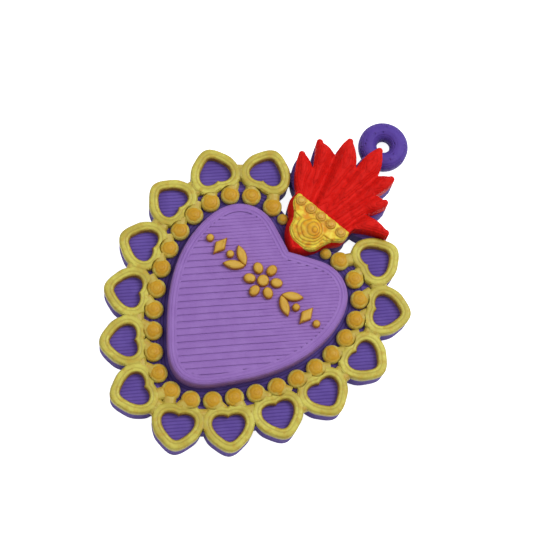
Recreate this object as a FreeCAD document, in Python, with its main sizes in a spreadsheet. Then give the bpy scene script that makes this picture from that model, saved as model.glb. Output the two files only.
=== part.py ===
import FreeCAD, Part
import math
import os

from FreeCAD import Placement, Rotation, Vector

# Milagro charm: a printed sacred-heart ornament, lying on its back.
# +Z points out of its face and +Y to its hanging ring. The origin is on the
# back face, under the middle of the centre heart. All lengths are millimetres.

doc = FreeCAD.newDocument("milagro_charm")

# Driving sizes. Each row is a name, a value and what it measures.
SIZES = [
    ("plate_thick", 2.8, "backing plate, back face to front face"),
    ("plate_inset", 0.06, "plate edge inside the edge of the gold on it"),
    ("web_width", 1.0, "bar of plate from a small heart to what stands beside it"),
    ("smallest_gap", 2.0, "area under which a void beside the vessel is filled"),
    ("fit_gap", 0.06, "clearance where one outline is cut round another"),
    ("heart_half_width", 11.04, "centre heart, middle to widest point"),
    ("heart_lobe_height", 11.74, "centre heart, middle to the top of its lobes"),
    ("heart_tip_depth", 12.2, "centre heart, middle to its tip"),
    ("heart_thick", 2.4, "centre heart above the plate"),
    ("heart_edge_round", 0.6, "radius of the centre heart's top edge"),
    ("bead_radius", 1.22, "border bead"),
    ("bead_wall", 0.55, "straight wall of a border bead"),
    ("bead_dome", 0.75, "dome on top of that wall"),
    ("bead_gap", 0.48, "centre heart to a border bead"),
    ("bead_pitch", 2.8, "border beads, along the row of their centres"),
    ("bead_last_step", 3.1, "last border bead on each side, from the one before"),
    ("collar_bead_radius", 0.74, "smaller bead beside the flame's foot"),
    ("collar_bead_wall", 0.45, "its straight wall"),
    ("collar_bead_dome", 0.5, "its dome"),
    ("collar_bead_step", 2.1, "last border bead to the smaller bead"),
    ("frame_thick", 1.0, "small heart frame above the plate"),
    ("frame_width", 1.25, "band of a small heart frame at its sides"),
    ("frame_reach", 5.35, "centre heart to the middle of a small heart"),
    ("frame_pitch", 6.84, "small hearts, along the row of their middles"),
    ("recess_width", 4.18, "recess of a small heart across its lobes"),
    ("recess_height", 3.45, "recess from lobes to point"),
    ("flame_reach", 8.35, "flame, middle to its furthest tongue"),
    ("flame_height", 12.03, "flame, root line to its highest tongue"),
    ("tongue_edge", 1.9, "edge of a tongue above the plate"),
    ("tongue_ridge", 2.8, "ridge of a tongue above the plate"),
    ("tongue_tip_radius", 0.45, "rounded point of a tongue"),
    ("base_half_width", 4.45, "flame base at its widest"),
    ("base_height", 6.94, "flame base, heart notch to root line"),
    ("base_thick", 2.2, "flame base above the plate"),
    ("vessel_shift", 0.25, "vessel's middle beside the charm's axis"),
    ("vessel_brim_height", 2.3, "brim, from its lower line to the root line"),
    ("vessel_brim_thick", 0.7, "brim above the flame base"),
    ("vessel_rise", 1.3, "crown of the cup above the flame base"),
    ("vessel_crown_radius", 5.2, "radius of the cup's domed face"),
    ("knob_radius", 0.68, "knob on the brim"),
    ("knob_wall", 0.15, "its straight wall"),
    ("knob_dome", 0.4, "its dome"),
    ("ring_radius", 2.1, "hanging ring, axis to the middle of its tube"),
    ("ring_tube", 1.2, "hanging ring, half the width of its tube"),
    ("ring_high", 2.75, "hanging ring, back to front"),
    ("ring_land", 0.8, "straight wall inside the ring's hole"),
    ("ring_rise", 1.57, "hanging ring's axis above the highest tongue"),
    ("ring_seat", 0.15, "depth of the flat where the ring meets the plate"),
    ("ornament_thick", 0.7, "gold ornament above the centre heart"),
    ("ornament_centre", 4.3, "ornament row above the middle of the heart"),
    ("ornament_gap", 0.35, "one piece of the row to the next"),
    ("flower_radius", 2.55, "rosette in the middle of the row"),
    ("flower_eye_radius", 0.8, "its eye"),
    ("petal_width", 1.3, "one petal across"),
    ("petal_gap", 0.15, "eye to petal"),
    ("leaf_length", 3.0, "one leaf"),
    ("leaf_width", 1.25, "one leaf across"),
    ("diamond_width", 1.6, "diamond beyond the leaves, across"),
    ("diamond_height", 2.9, "diamond, top to bottom"),
    ("dot_radius", 0.52, "round dot in the row"),
]

sheet = doc.addObject("Spreadsheet::Sheet", "Sizes")
for line, (alias, value, note) in enumerate(SIZES, start=1):
    sheet.set("A%d" % line, alias)
    sheet.set("B%d" % line, str(value))
    sheet.set("C%d" % line, note)
    sheet.setAlias("B%d" % line, alias)
doc.recompute()


def size(alias):
    """The sheet's value for a name, as a plain number."""
    return float(sheet.get(alias))


# Counts, angles and how finely the outlines are followed.
BEADS_A_SIDE = 13
PETALS = 6
PARALLEL_STEPS = 24
ROW_STEPS = 1500
LEVEL_SHARE = 0.001
FULL_TURN = 360.0
QUARTER_TURN = 90.0
LEAF_TILT = 32.0

# Centre heart: its right half from notch to tip, as shares of the half width
# and of the lobe height above the middle or the tip depth below it.
HEART_X_SHARES = (0.0, 0.193, 0.507, 0.803, 1.0, 0.755, 0.411, 0.185, 0.0)
HEART_Y_SHARES = (0.823, 0.905, 1.0, 0.908, 0.400, -0.352, -0.762, -0.950, -1.0)
NOTCH_DIRECTION = Vector(1.0, 0.55, 0.0)
NOTCH_RETURN = Vector(1.0, -0.55, 0.0)

# Small hearts from the tip upwards: degrees that each leans from square, its
# step from the even row as a share of the pitch, and its share of the reach.
FRAME_LEANS = (9.2, -4.2, 2.2, -0.2, -0.9, -0.5, 0.8)
FRAME_STEP_SHARES = (0.029, -0.010, -0.047, -0.082, -0.045, -0.018, 0.015)
FRAME_REACH_SHARES = (1.023, 1.031, 0.990, 0.962, 0.983, 1.009, 1.051)

# Recess of a small heart: its right half from notch to point, as shares of
# half its width and of half its height.
RECESS_X_SHARES = (0.0, 0.536, 0.885, 1.0, 0.818, 0.390, 0.190, 0.0)
RECESS_Y_SHARES = (0.810, 1.0, 0.803, 0.403, -0.212, -0.762, -0.935, -1.0)

# Outer edge of a small heart frame, as shares of the recess's halves and the
# band together. Its point reaches a little further.
FRAME_X_SHARES = (0.0, 0.335, 0.659, 0.913, 1.0, 0.958, 0.877, 0.766, 0.605, 0.308, 0.150, 0.0)
FRAME_Y_SHARES = (0.908, 0.998, 0.924, 0.622, 0.269, 0.0, -0.254, -0.459, -0.640, -0.909, -0.997, -1.027)

# Flame, left to right: tongue tips and the notches between them, as shares of
# the flame's reach and of its height above the root line.
TONGUE_TIP_SHARES = (
    (-0.880, 0.407), (-0.786, 0.645), (-0.418, 0.871), (0.045, 1.0),
    (0.490, 0.826), (0.660, 0.569), (1.0, 0.293),
)
NOTCH_SHARES = (
    (-0.590, 0.050), (-0.578, 0.335), (-0.455, 0.631), (-0.061, 0.643),
    (0.279, 0.737), (0.457, 0.550), (0.517, 0.303), (0.533, 0.083),
)
# Where the valleys reach the root line, as shares of the base's half width.
ROOT_SHARES = (-1.0, -0.70, -0.40, -0.07, 0.20, 0.50, 0.78, 1.0)
# How far each flank swells, left and right of each tongue, as shares of it.
FLANK_BULGE_SHARES = (
    (0.05, 0.06), (-0.03, 0.05), (0.05, 0.07), (0.07, 0.07),
    (0.04, 0.05), (0.05, 0.05), (0.06, -0.05),
)
# The same for the plate behind them.
BACKING_BULGE_SHARES = (
    (0.14, 0.06), (0.06, 0.05), (0.14, 0.07), (0.07, 0.07),
    (0.04, 0.05), (0.05, 0.14), (0.06, 0.10),
)
RIDGE_SQUEEZE_SHARE = 0.16
RIDGE_LENGTH_SHARE = 0.86

# Flame base: its right side from root line to foot, as shares of its half
# width and of its height above the heart's notch.
BASE_X_SHARES = (0.966, 1.0, 0.910, 0.680, 0.584, 0.360, 0.0)
BASE_Y_SHARES = (1.0, 0.856, 0.712, 0.550, 0.400, 0.200, 0.03)

# Vessel: its right side from the root line to its foot, as shares of the flame
# base's half width and height, and its knobs along the brim.
VESSEL_X_SHARES = (0.925, 0.962, 0.925, 0.720, 0.590, 0.550, 0.475, 0.290, 0.0)
VESSEL_Y_SHARES = (1.0, 0.914, 0.808, 0.669, 0.539, 0.445, 0.335, 0.236, 0.205)
KNOB_X_SHARES = (-0.74, -0.37, 0.0, 0.37, 0.74)
KNOB_Y_SHARE = 0.65


def bind(item, prop, expression):
    """Tie a property to the sheet."""
    item.setExpression(prop, expression)


def flat(name, face):
    """Keep a flat outline in the document and hand it back as an object."""
    item = doc.addObject("Part::Feature", name)
    item.Shape = face
    return item


def raised(name, face, thick, floor):
    """Extrude a flat outline by one sheet value from a height of others."""
    item = doc.addObject("Part::Extrusion", name)
    item.Base = flat(name + "_outline", face)
    item.DirMode = "Custom"
    item.Dir = Vector(0, 0, 1)
    item.Solid = True
    bind(item, "LengthFwd", "Sizes." + thick)
    bind(item, "Placement.Base.z", floor)
    return item


def mirrored(points):
    """The same points on the other side of the charm's axis, in reverse."""
    return [Vector(-p.x, p.y, p.z) for p in reversed(points)]


def spline(points, start=None, end=None):
    """One smooth edge through points, with directions at its ends if given."""
    curve = Part.BSplineCurve()
    if start is None:
        curve.interpolate(Points=points)
    else:
        curve.interpolate(Points=points, InitialTangent=start, FinalTangent=end)
    return curve.toShape()


def face_in(edges):
    """A flat face that looks up, inside edges given in any order."""
    level = Part.Plane(Vector(0, 0, 0), Vector(0, 0, 1))
    face = Part.Face(level, Part.Wire(Part.__sortEdges__(edges)))
    face.validate()
    return face


def disc(centre, radius):
    """A flat round face."""
    return face_in([Part.makeCircle(radius, centre)])


def parallel(side, distance):
    """The edge that runs a distance outside one right of the charm's axis.

    Both run from notch to tip. What would cross the axis at the notch is left out.
    """
    first, last = side.ParameterRange
    points = []
    for step in range(PARALLEL_STEPS + 1):
        at = first + (last - first) * step / PARALLEL_STEPS
        along = side.tangentAt(at)
        points.append(side.valueAt(at) + Vector(-along.y, along.x, 0) * distance)
    crossed = [point for point in points if point.x < 0]
    kept = points[len(crossed):]
    if crossed:
        near = crossed[-1]
        reach = kept[0] - near
        kept[0] = near - reach * (near.x / reach.x)
    kept[0].x = 0
    kept[-1].x = 0
    return spline(kept)


def symmetric_face(side, top=None):
    """The face between an edge right of the charm's axis and its mirror image."""
    other = side.mirror(Vector(0, 0, 0), Vector(1, 0, 0))
    return face_in([side, other] + ([top] if top else []))


def largest_face(shape):
    """The largest face of a flat result, without the crumbs beside it."""
    return max(shape.Faces, key=lambda face: face.Area)


# Heights of the fronts that the pieces stand on, and the ring's axis.
ON_PLATE = "Sizes.plate_thick"
ON_HEART = "Sizes.plate_thick + Sizes.heart_thick"
ON_BASE = "Sizes.plate_thick + Sizes.base_thick"
RING_AXIS = ("%s * Sizes.heart_lobe_height + Sizes.base_height + Sizes.flame_height"
             " + Sizes.ring_rise" % HEART_Y_SHARES[0])

# Centre heart outline. Its right edge also leads the rows of beads and hearts.
heart_points = []
for x_share, y_share in zip(HEART_X_SHARES, HEART_Y_SHARES):
    above = size("heart_lobe_height")
    below = size("heart_tip_depth")
    height = y_share * (above if y_share > 0 else below)
    heart_points.append(Vector(x_share * size("heart_half_width"), height, 0))
heart_edge = spline(heart_points + mirrored(heart_points)[1:], NOTCH_DIRECTION, NOTCH_RETURN)
first, last = heart_edge.ParameterRange
heart_right = heart_edge.Curve.toShape(first, (first + last) / 2)
heart_face = symmetric_face(heart_right)
heart_notch = heart_points[0]


def row(distance, lengths):
    """Stations beside the heart's right edge, counted from its tip.

    Each length is measured along the row itself, which runs the given distance
    outside the heart. A station is its place and its outward direction.
    """
    first, last = heart_right.ParameterRange
    places = []
    for step in range(ROW_STEPS + 1):
        at = last + (first - last) * step / ROW_STEPS
        along = heart_right.tangentAt(at)
        outward = Vector(-along.y, along.x, 0)
        places.append((heart_right.valueAt(at) + outward * distance, outward))
    stations = []
    walked = 0.0
    ahead = iter(zip(places, places[1:]))
    here, there = next(ahead)
    for length in lengths:
        while walked < length:
            walked += (there[0] - here[0]).Length
            here, there = next(ahead)
        stations.append(here)
    return stations


# Centre heart: a pad with a rounded top edge.
def make_centre_heart():
    body = doc.addObject("PartDesign::Body", "centre_heart")
    sketch = body.newObject("Sketcher::SketchObject", "centre_heart_sketch")
    planes = {plane.Role: plane for plane in body.Origin.OriginFeatures}
    sketch.AttachmentSupport = [(planes["XY_Plane"], "")]
    sketch.MapMode = "FlatFace"
    for edge in heart_face.OuterWire.Edges:
        sketch.addGeometry(edge.Curve.toBSpline(*edge.ParameterRange))
    pad = body.newObject("PartDesign::Pad", "centre_heart_pad")
    pad.Profile = sketch
    bind(pad, "Length", "Sizes.heart_thick")
    doc.recompute()
    top = size("heart_thick")
    names = []
    for index, edge in enumerate(pad.Shape.Edges, start=1):
        if all(abs(vertex.Z - top) < LEVEL_SHARE * top for vertex in edge.Vertexes):
            names.append("Edge%d" % index)
    rounding = body.newObject("PartDesign::Fillet", "centre_heart_rounding")
    rounding.Base = (pad, names)
    bind(rounding, "Radius", "Sizes.heart_edge_round")
    body.Tip = rounding
    bind(body, "Placement.Base.z", ON_PLATE)
    return body


def make_domed(name, radius, wall, dome):
    """A round boss with a straight wall and a domed top, as a revolution."""
    body = doc.addObject("PartDesign::Body", name)
    sketch = body.newObject("Sketcher::SketchObject", name + "_sketch")
    planes = {plane.Role: plane for plane in body.Origin.OriginFeatures}
    sketch.AttachmentSupport = [(planes["XZ_Plane"], "")]
    sketch.MapMode = "FlatFace"
    foot = Vector(radius, 0, 0)
    shoulder = Vector(radius, wall, 0)
    crown = Vector(0, wall + dome, 0)
    ball = (radius ** 2 + dome ** 2) / (2 * dome)
    half_angle = math.asin(min(1.0, radius / ball)) / 2
    middle = Vector(ball * math.sin(half_angle),
                    crown.y - ball * (1 - math.cos(half_angle)), 0)
    sketch.addGeometry(Part.LineSegment(Vector(0, 0, 0), foot))
    sketch.addGeometry(Part.LineSegment(foot, shoulder))
    sketch.addGeometry(Part.Arc(shoulder, middle, crown))
    sketch.addGeometry(Part.LineSegment(crown, Vector(0, 0, 0)))
    turned = body.newObject("PartDesign::Revolution", name + "_turned")
    turned.Profile = sketch
    turned.ReferenceAxis = (sketch, ["V_Axis"])
    turned.Angle = FULL_TURN
    body.Tip = turned
    doc.recompute()
    return body


def copies(label, master, places):
    """Separate copies of one solid, kept together in one sub-part."""
    item = doc.addObject("Part::Feature", label)
    solids = []
    for place in places:
        solid = master.Shape.copy()
        solid.Placement = Placement(place, Rotation())
        solids.append(solid)
    item.Shape = Part.makeCompound(solids)
    return item


# Border beads: one master, copied along the row on both sides.
bead_distance = size("bead_gap") + size("bead_radius")
bead_lengths = [size("bead_pitch") * step for step in range(BEADS_A_SIDE)]
bead_lengths.append(bead_lengths[-1] + size("bead_last_step"))
bead_stations = row(bead_distance, bead_lengths)
bead_places = [place for place, outward in bead_stations]
bead_places += mirrored(bead_places[1:])
on_plate = Vector(0, 0, size("plate_thick"))
bead = make_domed("bead_master", size("bead_radius"), size("bead_wall"), size("bead_dome"))
border_beads = copies("border_beads", bead, [place + on_plate for place in bead_places])

# Collar beads: one smaller bead beyond the last border bead on each side.
collar_length = bead_lengths[-1] + size("collar_bead_step")
collar_place = row(bead_distance, [collar_length])[0][0]
collar_places = [collar_place] + mirrored([collar_place])
collar_bead = make_domed("collar_bead_master", size("collar_bead_radius"),
                         size("collar_bead_wall"), size("collar_bead_dome"))
collar_beads = copies("collar_beads", collar_bead, [place + on_plate for place in collar_places])


def turned_to(shape, place, degrees):
    """A copy of a flat shape, turned about Z and moved to its place."""
    copy = shape.copy()
    copy.Placement = Placement(place, Rotation(Vector(0, 0, 1), degrees))
    return copy


# Places of the small hearts, from the left of the ring round to its right.
frame_lengths = [size("frame_pitch") * (step + 0.5 + share)
                 for step, share in enumerate(FRAME_STEP_SHARES)]
frame_spots = []
frame_row = row(size("frame_reach"), frame_lengths)
for (place, outward), lean, share in zip(frame_row, FRAME_LEANS, FRAME_REACH_SHARES):
    heading = math.degrees(math.atan2(outward.y, outward.x)) + QUARTER_TURN + lean
    spot = place + outward * ((share - 1) * size("frame_reach"))
    frame_spots.append((spot, heading))
left_spots = [(Vector(-p.x, p.y, 0), -turn) for p, turn in reversed(frame_spots)]
frame_spots = left_spots + frame_spots


def own_side(place, other, span):
    """A large square face on this heart's side of the line between two."""
    middle = (place + other) / 2
    away = (place - other).normalize()
    heading = math.degrees(math.atan2(away.y, away.x))
    square = Part.makePlane(span, 2 * span, Vector(0, -span, 0))
    return turned_to(square, middle, heading)


recess_points = [Vector(x_share * size("recess_width") / 2, y_share * size("recess_height") / 2, 0)
                 for x_share, y_share in zip(RECESS_X_SHARES, RECESS_Y_SHARES)]
recess_side = spline(recess_points)
recess = symmetric_face(recess_side)
frame_half_width = size("recess_width") / 2 + size("frame_width")
frame_half_height = size("recess_height") / 2 + size("frame_width")
frame_points = [Vector(x_share * frame_half_width, y_share * frame_half_height, 0)
                for x_share, y_share in zip(FRAME_X_SHARES, FRAME_Y_SHARES)]
frame_side = spline(frame_points)
frame_blank = symmetric_face(frame_side)
plate_blank = symmetric_face(parallel(frame_side, -size("plate_inset")))
bead_clear = [disc(place, size("bead_radius") + size("fit_gap")) for place in bead_places]
collar_clear = [disc(place, size("collar_bead_radius") + size("fit_gap")) for place in collar_places]
span = 2 * size("heart_half_width")
frames = []
for index, (place, heading) in enumerate(frame_spots):
    face = turned_to(frame_blank, place, heading)
    for neighbour in (index - 1, index + 1):
        if 0 <= neighbour < len(frame_spots):
            face = face.common(own_side(place, frame_spots[neighbour][0], span))
    face = face.cut([turned_to(recess, place, heading)] + bead_clear + collar_clear)
    name = "heart_frame_%02d" % (index + 1)
    frames.append(raised(name, largest_face(face), "frame_thick", ON_PLATE))

# Flame base: a vase-shaped foot that fills the heart's notch.
root_line = heart_notch.y + size("base_height")
base_points = [Vector(x_share * size("base_half_width"),
                      heart_notch.y + y_share * size("base_height"), 0)
               for x_share, y_share in zip(BASE_X_SHARES, BASE_Y_SHARES)]
base_top = Part.LineSegment(base_points[0], mirrored(base_points)[-1]).toShape()
base_outline = symmetric_face(spline(base_points), base_top)
heart_clear = symmetric_face(parallel(heart_right, size("fit_gap")))
frame_clear = symmetric_face(parallel(frame_side, size("fit_gap")))
neighbours = [turned_to(frame_clear, *frame_spots[0]), turned_to(frame_clear, *frame_spots[-1])]
base_face = largest_face(base_outline.cut([heart_clear] + bead_clear + collar_clear + neighbours))
flame_base = raised("flame_base", base_face, "base_thick", ON_PLATE)


def flame_point(x_share, y_share):
    """A point of the flame from its shares."""
    x = x_share * size("flame_reach")
    return Vector(x, root_line + y_share * size("flame_height"), 0)


def bulged(start, end, share):
    """An arc from start to end that swells to its left by a share of its length."""
    chord = end - start
    swell = Vector(-chord.y, chord.x, 0) * share
    return Part.Arc(start, (start + end) / 2 + swell, end).toShape()


def tongue_wire(tip, left, right, root_left, root_right, tip_radius, bulges, floor):
    """Closed outline of one tongue at a height."""
    root_middle = (root_left + root_right) / 2
    along = (tip - root_middle).normalize()
    across = Vector(along.y, -along.x, 0)
    centre = tip - along * tip_radius
    tip_left = centre - across * tip_radius
    tip_right = centre + across * tip_radius
    edges = [
        Part.LineSegment(root_right, root_left).toShape(),
        Part.LineSegment(root_left, left).toShape(),
        bulged(left, tip_left, bulges[0]),
        Part.Arc(tip_left, tip, tip_right).toShape(),
        bulged(tip_right, right, bulges[1]),
        Part.LineSegment(right, root_right).toShape(),
    ]
    wire = Part.Wire(edges)
    wire.translate(Vector(0, 0, floor))
    return wire


def tongue_points(index):
    """Tip, notches beside it and root points of one tongue."""
    half = size("base_half_width") * BASE_X_SHARES[0]
    root_left = Vector(ROOT_SHARES[index] * half, root_line, 0)
    root_right = Vector(ROOT_SHARES[index + 1] * half, root_line, 0)
    tip = flame_point(*TONGUE_TIP_SHARES[index])
    left = flame_point(*NOTCH_SHARES[index])
    right = flame_point(*NOTCH_SHARES[index + 1])
    return tip, left, right, root_left, root_right


def squeezed(point, origin, along):
    """A point drawn in to the tongue's axis for its ridge."""
    offset = point - origin
    length = offset.dot(along)
    aside = offset - along * length
    return origin + along * (length * RIDGE_LENGTH_SHARE) + aside * RIDGE_SQUEEZE_SHARE


def tongue_solid(index, trim):
    """A leaf with an upright edge and a roof that rises to a ridge."""
    tip, left, right, root_left, root_right = tongue_points(index)
    origin = (root_left + root_right) / 2
    along = (tip - origin).normalize()
    ridge = [squeezed(point, origin, along) for point in (tip, left, right)]
    root = [origin + (point - origin) * RIDGE_SQUEEZE_SHARE for point in (root_left, root_right)]
    floor = size("plate_thick")
    round_tip = size("tongue_tip_radius")
    bulges = FLANK_BULGE_SHARES[index]
    outline = (tip, left, right, root_left, root_right, round_tip, bulges)
    top = (*ridge, *root, round_tip * RIDGE_SQUEEZE_SHARE, bulges)
    wires = [
        tongue_wire(*outline, floor),
        tongue_wire(*outline, floor + size("tongue_edge")),
        tongue_wire(*top, floor + size("tongue_ridge")),
    ]
    solid = Part.makeLoft(wires, True, True)
    return solid.cut(trim)


tall = Vector(0, 0, size("plate_thick") + 2 * size("tongue_ridge"))
trim = [face.extrude(tall) for face in neighbours]
tongues = []
tongue_faces = []
for index in range(len(TONGUE_TIP_SHARES)):
    tongue = doc.addObject("Part::Feature", "flame_tongue_%d" % (index + 1))
    tongue.Shape = max(tongue_solid(index, trim).Solids, key=lambda solid: solid.Volume)
    tongues.append(tongue)
    outline = (*tongue_points(index), size("tongue_tip_radius"), BACKING_BULGE_SHARES[index])
    backing = tongue_wire(*outline, 0)
    tongue_faces.append(face_in(backing.Edges))

# Hanging ring: a rounded section turned about the hole's axis, cut flat
# where it meets the plate's neck.
ring_inner = size("ring_radius") - size("ring_tube")
ring_outer = size("ring_radius") + size("ring_tube")
ring_axis = root_line + size("flame_height") + size("ring_rise")
seat_line = ring_axis - ring_outer + size("ring_seat")


def make_ring():
    body = doc.addObject("PartDesign::Body", "hanging_ring")
    sketch = body.newObject("Sketcher::SketchObject", "hanging_ring_sketch")
    planes = {plane.Role: plane for plane in body.Origin.OriginFeatures}
    sketch.AttachmentSupport = [(planes["XZ_Plane"], "")]
    sketch.MapMode = "FlatFace"
    high = size("ring_high")
    low = (high - size("ring_land")) / 2
    upper = low + size("ring_land")
    middle = size("ring_radius")
    corners = [Vector(ring_inner, low, 0), Vector(ring_inner, upper, 0),
               Vector(ring_outer, upper, 0), Vector(ring_outer, low, 0)]
    top = Vector(middle, high, 0)
    bottom = Vector(middle, 0, 0)
    sketch.addGeometry(Part.LineSegment(corners[0], corners[1]))
    sketch.addGeometry(Part.Arc(corners[1], top, corners[2]))
    sketch.addGeometry(Part.LineSegment(corners[2], corners[3]))
    sketch.addGeometry(Part.Arc(corners[3], bottom, corners[0]))
    turned = body.newObject("PartDesign::Revolution", "hanging_ring_turned")
    turned.Profile = sketch
    turned.ReferenceAxis = (sketch, ["V_Axis"])
    turned.Angle = FULL_TURN
    seat = body.newObject("Sketcher::SketchObject", "hanging_ring_seat_sketch")
    seat.AttachmentSupport = [(planes["XY_Plane"], "")]
    seat.MapMode = "FlatFace"
    edge = size("ring_seat") - ring_outer
    rim = [Vector(-ring_outer, -2 * ring_outer, 0), Vector(ring_outer, -2 * ring_outer, 0),
           Vector(ring_outer, edge, 0), Vector(-ring_outer, edge, 0)]
    for start, end in zip(rim, rim[1:] + rim[:1]):
        seat.addGeometry(Part.LineSegment(start, end))
    pocket = body.newObject("PartDesign::Pocket", "hanging_ring_seat")
    pocket.Profile = seat
    pocket.Reversed = True
    bind(pocket, "Length", "Sizes.ring_high")
    body.Tip = pocket
    bind(body, "Placement.Base.y", RING_AXIS)
    return body


def tongue_middle(index):
    """A place half way along one tongue."""
    tip, left, right, root_left, root_right = tongue_points(index)
    return (tip + (root_left + root_right) / 2) / 2


def web(start, end):
    """A bar of plate between two places."""
    along = end - start
    width = size("web_width")
    bar = Part.makePlane(along.Length, width, Vector(0, -width / 2, 0))
    return turned_to(bar, start, math.degrees(math.atan2(along.y, along.x)))


# Backing plate: everything that stands on it, drawn in by the inset, with room
# for the ring above the seat line.
inset = size("plate_inset")
ring_middle = Vector(0, ring_axis, 0)
seat_half = math.sqrt(ring_outer ** 2 - (ring_middle.y - seat_line) ** 2)
neck_foot = Vector(-seat_half, root_line, 0)
neck = Part.makePlane(2 * seat_half, seat_line - root_line, neck_foot)
below_seat = Part.makePlane(span, span, Vector(-span / 2, seat_line - span, 0))
ring_room = disc(ring_middle, ring_outer).cut(below_seat)
floor_distance = bead_distance + size("collar_bead_radius") - inset
plate_faces = [symmetric_face(parallel(heart_right, floor_distance)), base_outline, neck]
plate_faces += [disc(place, size("bead_radius") - inset) for place in bead_places]
plate_faces += [disc(place, size("collar_bead_radius") - inset) for place in collar_places]
plate_faces += [turned_to(plate_blank, *spot) for spot in frame_spots]
plate_faces += tongue_faces
plate_faces += [web(frame_spots[0][0], bead_places[BEADS_A_SIDE + 1]),
                web(frame_spots[0][0], tongue_middle(0)),
                web(frame_spots[-1][0], bead_places[BEADS_A_SIDE]),
                web(frame_spots[-1][0], tongue_middle(len(TONGUE_TIP_SHARES) - 1))]
plate_faces += [web(spot[0], after[0]) for spot, after in zip(frame_spots, frame_spots[1:])]
plate_union = plate_faces[0].multiFuse(plate_faces[1:]).removeSplitter().cut(ring_room)
plate_union = largest_face(plate_union)
whole_plate = face_in(plate_union.OuterWire.Edges)
voids = [face_in(void.OuterWire.Edges) for void in whole_plate.cut(plate_union).Faces]
beside_vessel = [void for void in voids if void.CenterOfMass.y > heart_notch.y]
see_through = [void for void in beside_vessel if void.Area > size("smallest_gap")]
plate_face = largest_face(whole_plate.cut(see_through))
print("voids in the plate:", [round(void.Area, 2) for void in voids])
back_plate = raised("back_plate", plate_face, "plate_thick", "0 mm")

centre_heart = make_centre_heart()
hanging_ring = make_ring()


# Vessel: a domed cup and a flared brim with knobs, on the flame base.
vessel_points = [Vector(x_share * size("base_half_width"),
                        heart_notch.y + y_share * size("base_height"), 0)
                 for x_share, y_share in zip(VESSEL_X_SHARES, VESSEL_Y_SHARES)]
vessel_top = Part.LineSegment(vessel_points[0], mirrored(vessel_points)[-1]).toShape()
vessel_face = symmetric_face(spline(vessel_points), vessel_top)
vessel_face.translate(Vector(size("vessel_shift"), 0, 0))
brim_line = root_line - size("vessel_brim_height")
above_line = Part.makePlane(span, span, Vector(-span / 2, brim_line, 0))
cup_face = largest_face(vessel_face.cut(above_line))
brim_face = largest_face(vessel_face.common(above_line))
vessel_brim = raised("vessel_brim", brim_face, "vessel_brim_thick", ON_BASE)
cup_block = raised("vessel_cup_block", cup_face, "vessel_rise", ON_BASE)
cup_ball = doc.addObject("Part::Sphere", "vessel_cup_ball")
bind(cup_ball, "Radius", "Sizes.vessel_crown_radius")
bind(cup_ball, "Placement.Base.x", "Sizes.vessel_shift")
cup_ball.Placement.Base.y = cup_face.CenterOfMass.y
bind(cup_ball, "Placement.Base.z", ON_BASE + " + Sizes.vessel_rise - Sizes.vessel_crown_radius")
vessel_cup = doc.addObject("Part::Common", "vessel_cup")
vessel_cup.Base = cup_block
vessel_cup.Tool = cup_ball

brim_front = size("plate_thick") + size("base_thick") + size("vessel_brim_thick")
knob_row = brim_line + KNOB_Y_SHARE * size("vessel_brim_height")
knob_places = [Vector(share * size("base_half_width") + size("vessel_shift"), knob_row, brim_front)
               for share in KNOB_X_SHARES]
knob = make_domed("knob_master", size("knob_radius"), size("knob_wall"), size("knob_dome"))
vessel_knobs = copies("vessel_knobs", knob, knob_places)

# Ornament on the centre heart: a rosette, leaves, diamonds and dots in a row.
# Each piece takes its place from the one before it and the gap between them.
row_centre = Vector(0, size("ornament_centre"), 0)
leaf_root = size("flower_radius") + size("ornament_gap")
inner_dot = leaf_root + size("leaf_length") * math.cos(math.radians(LEAF_TILT))
diamond_start = inner_dot + size("dot_radius") + size("ornament_gap")
diamond_middle = diamond_start + size("diamond_width") / 2
outer_dot = diamond_start + size("diamond_width") + size("ornament_gap") + size("dot_radius")


def on_both_sides(faces):
    """Faces on the right of the charm's axis and their mirror images."""
    return faces + [face.mirror(Vector(0, 0, 0), Vector(1, 0, 0)) for face in faces]


def petal_faces():
    """Oval petals round the eye."""
    start = size("flower_eye_radius") + size("petal_gap")
    half_length = (size("flower_radius") - start) / 2
    half_width = size("petal_width") / 2
    middle = Vector(start + half_length, 0, 0)
    tip = Vector(size("flower_radius"), 0, 0)
    side = middle + Vector(0, half_width, 0)
    oval = face_in([Part.Ellipse(tip, side, middle).toShape()])
    return [turned_to(oval, row_centre, FULL_TURN / PETALS * step + QUARTER_TURN)
            for step in range(PETALS)]


def leaf_face(degrees):
    """A pointed leaf from its root, leaning by an angle."""
    length = size("leaf_length")
    half = size("leaf_width") / 2
    root = Vector(0, 0, 0)
    tip = Vector(length, 0, 0)
    upper = Part.Arc(root, Vector(length / 2, half, 0), tip).toShape()
    lower = Part.Arc(tip, Vector(length / 2, -half, 0), root).toShape()
    leaf = face_in([upper, lower])
    return turned_to(leaf, row_centre + Vector(leaf_root, 0, 0), degrees)


def diamond_face():
    """A diamond that stands on its point."""
    centre = row_centre + Vector(diamond_middle, 0, 0)
    across = Vector(size("diamond_width") / 2, 0, 0)
    upright = Vector(0, size("diamond_height") / 2, 0)
    corners = [centre + across, centre + upright, centre - across, centre - upright]
    return face_in(Part.makePolygon(corners + corners[:1]).Edges)


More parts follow.
